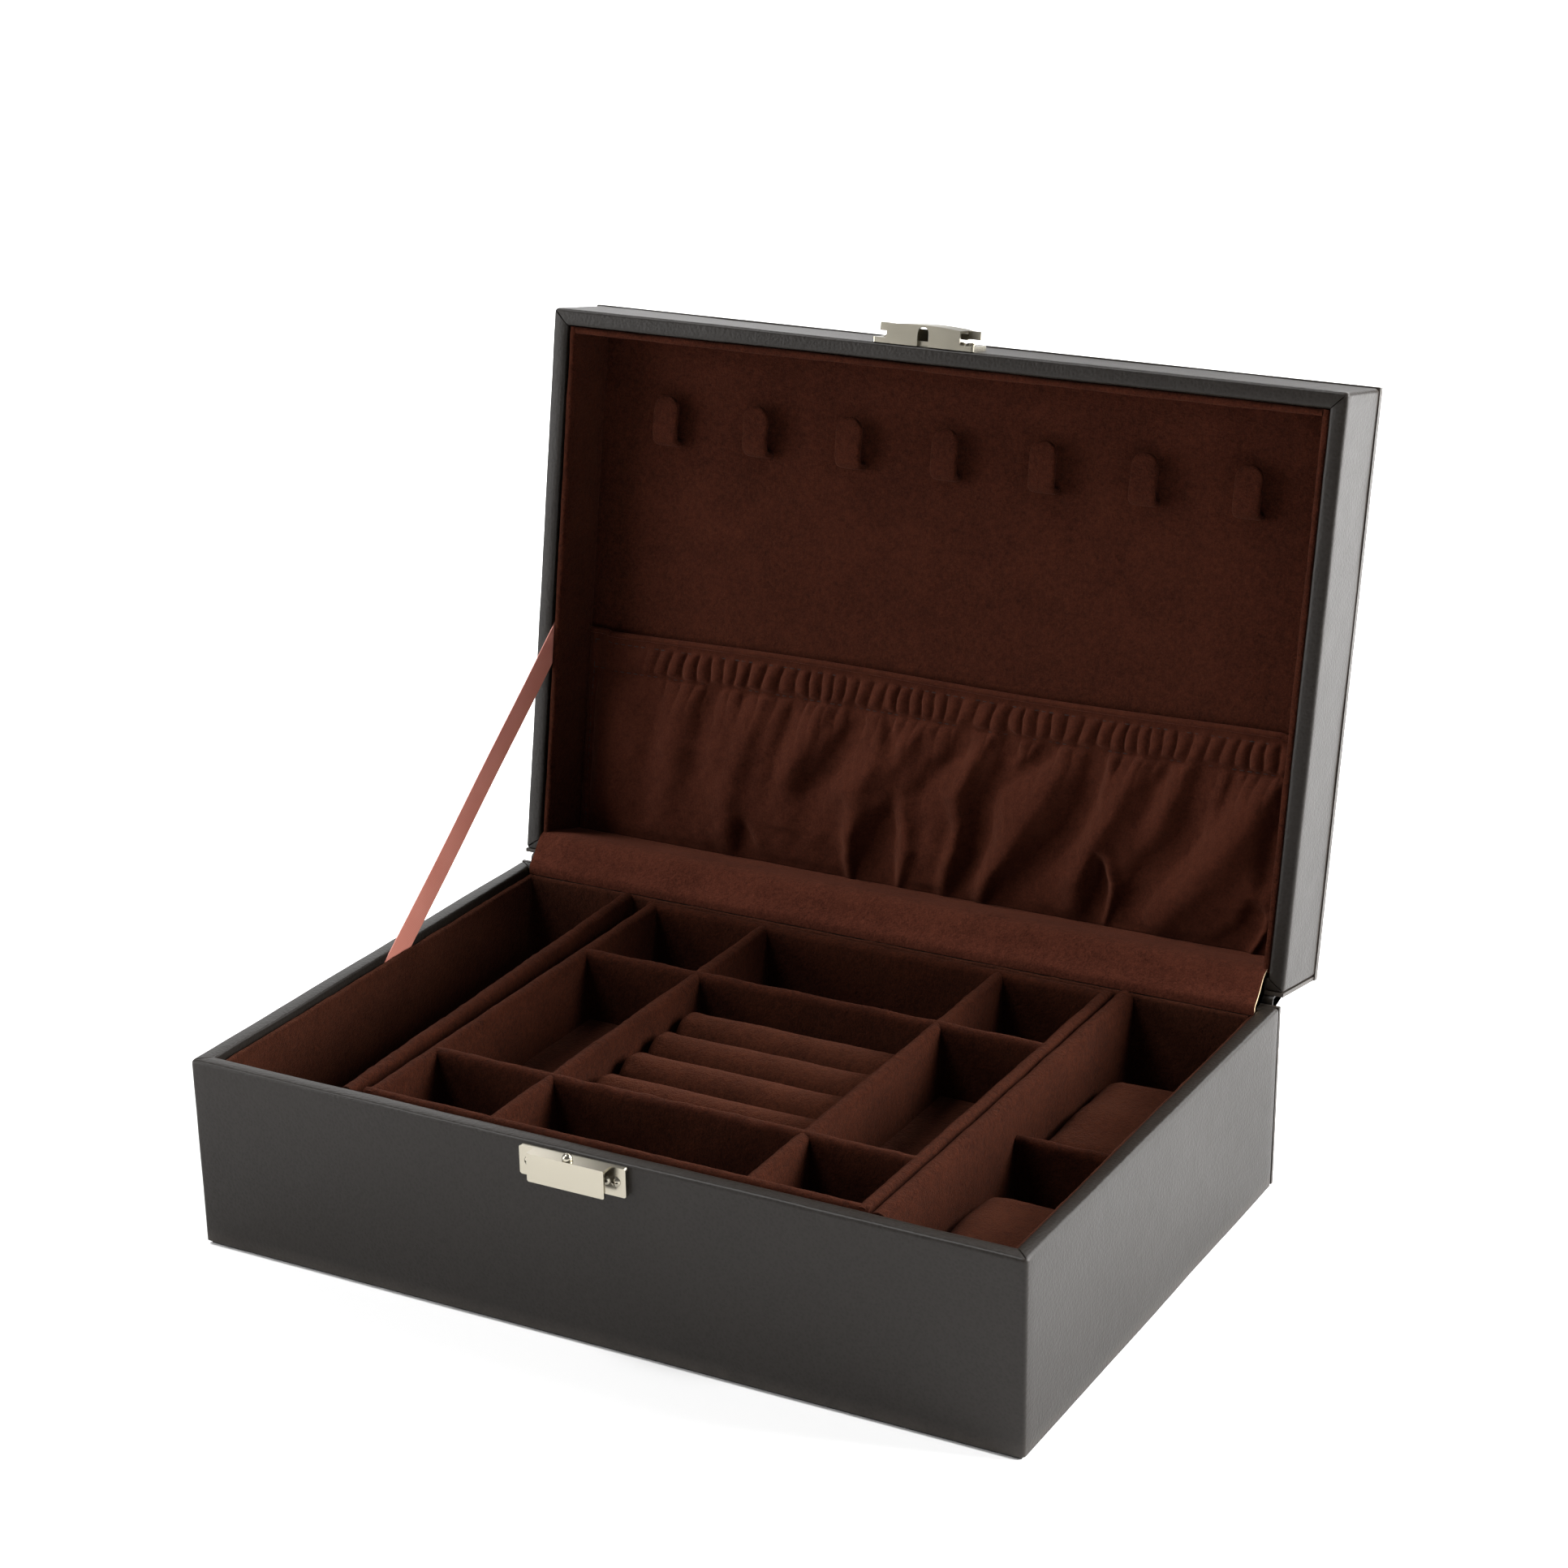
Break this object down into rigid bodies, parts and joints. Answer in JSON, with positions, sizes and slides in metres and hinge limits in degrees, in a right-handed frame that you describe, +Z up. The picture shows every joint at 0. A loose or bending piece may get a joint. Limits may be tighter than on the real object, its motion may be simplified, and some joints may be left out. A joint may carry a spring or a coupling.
{
  "type": "jewelry box",
  "caption": "Rectangular hinged jewelry box, leather outside and suede inside, with a divided lift-out tray, ring rolls, watch bays, necklace hooks, a gathered lid pocket and a snap catch.",
  "frame": {"origin": "centre of the underside of the base, on the plane it stands on", "axes": "+X to the right along the long side, the front with the catch faces -Y, +Z up; stored with the lid open"},
  "size_m": [0.3058, 0.2796, 0.2792],
  "materials": {
    "leather_cover": "satin, fine grain",
    "brown_suede": "brushed suede",
    "satin_ribbon": "satin",
    "sole_paper": "matte",
    "board_core": "raw board",
    "warm_nickel": "polished plate"
  },
  "bodies": {
    "base": {"base_front_wall": "leather_cover", "base_back_wall": "leather_cover", "base_left_wall": "leather_cover", "base_right_wall": "leather_cover", "base_bottom_board": "board_core", "base_sole_board": "sole_paper", "base_spine_board": "leather_cover", "base_front_lining": "brown_suede", "base_back_lining": "brown_suede", "base_left_lining": "brown_suede", "base_right_lining": "brown_suede", "base_floor_lining": "brown_suede", "left_divider": "brown_suede", "right_divider": "brown_suede", "watch_bay_divider": "brown_suede", "tray_ledges": "brown_suede", "catch_plate": "warm_nickel", "catch_stud": "warm_nickel", "catch_plate_screws": "warm_nickel", "stay_ribbon": "satin_ribbon", "hinge_flap": "brown_suede", "spine_fold": "leather_cover"},
    "lid": {"lid_front_wall": "leather_cover", "lid_back_wall": "leather_cover", "lid_left_wall": "leather_cover", "lid_right_wall": "leather_cover", "lid_top_board": "leather_cover", "lid_spine_board": "leather_cover", "lid_front_lining": "brown_suede", "lid_left_lining": "brown_suede", "lid_right_lining": "brown_suede", "lid_ceiling_pad": "brown_suede", "necklace_hook_1": "brown_suede", "necklace_hook_2": "brown_suede", "necklace_hook_3": "brown_suede", "necklace_hook_4": "brown_suede", "necklace_hook_5": "brown_suede", "necklace_hook_6": "brown_suede", "necklace_hook_7": "brown_suede", "elastic_pocket": "brown_suede", "latch_bracket": "warm_nickel", "latch_bracket_screws": "warm_nickel", "latch_slide": "warm_nickel"},
    "tray": {"tray_front_wall": "brown_suede", "tray_back_wall": "brown_suede", "tray_left_wall": "brown_suede", "tray_right_wall": "brown_suede", "tray_floor": "brown_suede", "tray_left_divider": "brown_suede", "tray_right_divider": "brown_suede", "tray_back_divider": "brown_suede", "tray_front_divider": "brown_suede", "ring_roll_1": "brown_suede", "ring_roll_2": "brown_suede", "ring_roll_3": "brown_suede", "ring_roll_4": "brown_suede"},
    "pillow_back": {"watch_pillow_back": "brown_suede"},
    "pillow_front": {"watch_pillow_front": "brown_suede"}
  },
  "joints": [
    {"name": "lid_hinge", "type": "hinge", "parent": "base", "child": "lid", "pos_m": [0, 0.1036, 0.0694], "axis": [1, 0, 0], "range_deg": [0, 100], "deforming": ["stay_ribbon", "hinge_flap", "spine_fold"]},
    {"name": "tray_lift", "type": "slide", "parent": "base", "child": "tray", "axis": [0, 0, 1], "range_m": [0, 0.015]},
    {"name": "back_pillow_lift", "type": "slide", "parent": "base", "child": "pillow_back", "axis": [0, 0, 1], "range_m": [0, 0.02]},
    {"name": "front_pillow_lift", "type": "slide", "parent": "base", "child": "pillow_front", "axis": [0, 0, 1], "range_m": [0, 0.02]}
  ]
}
